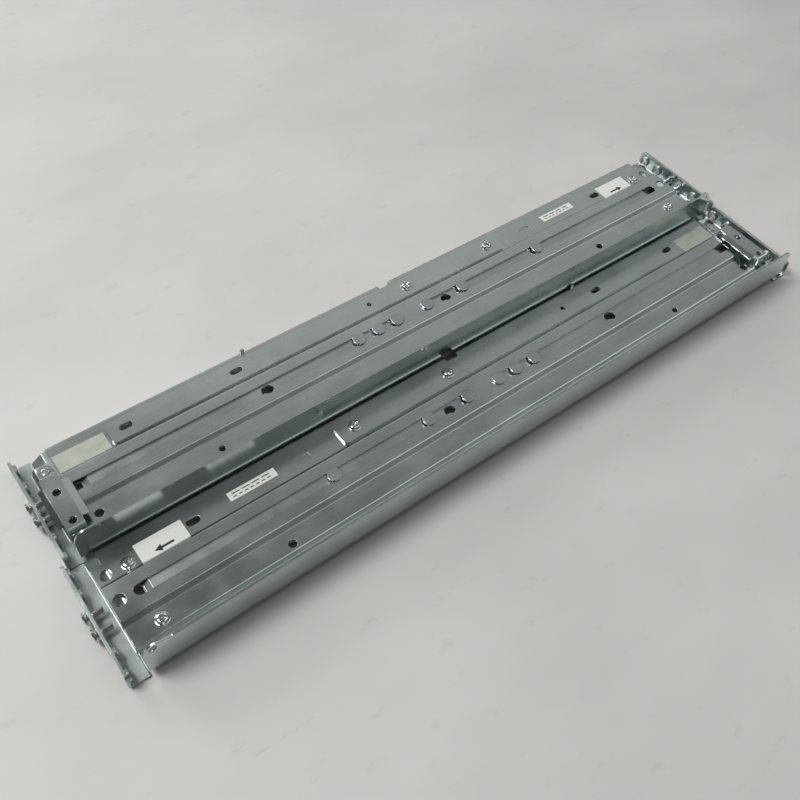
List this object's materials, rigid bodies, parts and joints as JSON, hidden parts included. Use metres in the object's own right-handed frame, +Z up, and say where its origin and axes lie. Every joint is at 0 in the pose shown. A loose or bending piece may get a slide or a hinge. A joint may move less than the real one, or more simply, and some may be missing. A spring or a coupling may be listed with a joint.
{
  "type": "sliding server rail pair",
  "caption": "Pair of sliding steel rack rails with a chassis ledge, a slotted web, telescoping rear brackets, sprung latches and studded rack faces.",
  "frame": {"origin": "middle of the pair at the surface it lies on", "axes": "+X along the rails, towards the left rail's rear; +Y across from the left rail to the right one; +Z up, towards the chassis side"},
  "size_m": [0.631, 0.1764, 0.0355],
  "materials": {
    "zinc_steel": "bright zinc-plated sheet steel, satin",
    "bright_steel": "bright zinc-plated turned and headed parts",
    "spring_steel": "spring wire",
    "clear_tape": "translucent glide tape",
    "label": "white printed label"
  },
  "bodies": {
    "rail_frames": {"left_web": "zinc_steel", "left_front_arm": "zinc_steel", "left_front_studs": "bright_steel", "left_front_rivets": "bright_steel", "left_front_screws": "bright_steel", "left_bar": "zinc_steel", "left_bar_screws": "bright_steel", "left_tape": "clear_tape", "left_arrow_label": "label", "left_small_label": "label", "right_web": "zinc_steel", "right_front_arm": "zinc_steel", "right_front_studs": "bright_steel", "right_front_rivets": "bright_steel", "right_front_screws": "bright_steel", "right_bar": "zinc_steel", "right_bar_screws": "bright_steel", "right_tape": "clear_tape", "right_arrow_label": "label", "right_small_label": "label"},
    "left_rear_slide": {"left_rear_arm": "zinc_steel", "left_rear_studs": "bright_steel", "left_rear_rivets": "bright_steel", "left_latch_pin": "bright_steel", "left_latch_spring": "spring_steel"},
    "left_latch_lever": {"left_latch": "zinc_steel"},
    "right_rear_slide": {"right_rear_arm": "zinc_steel", "right_rear_studs": "bright_steel", "right_rear_rivets": "bright_steel", "right_latch_pin": "bright_steel", "right_latch_spring": "spring_steel"},
    "right_latch_lever": {"right_latch": "zinc_steel"}
  },
  "joints": [
    {"name": "left_rail_length", "type": "slide", "parent": "rail_frames", "child": "left_rear_slide", "axis": [1, 0, 0], "range_m": [0, 0.225]},
    {"name": "left_latch_pivot", "type": "hinge", "parent": "left_rear_slide", "child": "left_latch_lever", "pos_m": [0.29, -0.01825, 0.00875], "axis": [0, 0, 1], "range_deg": [-8, 0], "stiffness_Nm_per_rad": 0.12, "springref_deg": 5.73},
    {"name": "right_rail_length", "type": "slide", "parent": "rail_frames", "child": "right_rear_slide", "axis": [-1, 0, 0], "range_m": [0, 0.225]},
    {"name": "right_latch_pivot", "type": "hinge", "parent": "right_rear_slide", "child": "right_latch_lever", "pos_m": [-0.29, 0.07025, 0.00875], "axis": [0, 0, 1], "range_deg": [0, 8], "stiffness_Nm_per_rad": 0.12, "springref_deg": -5.73}
  ]
}
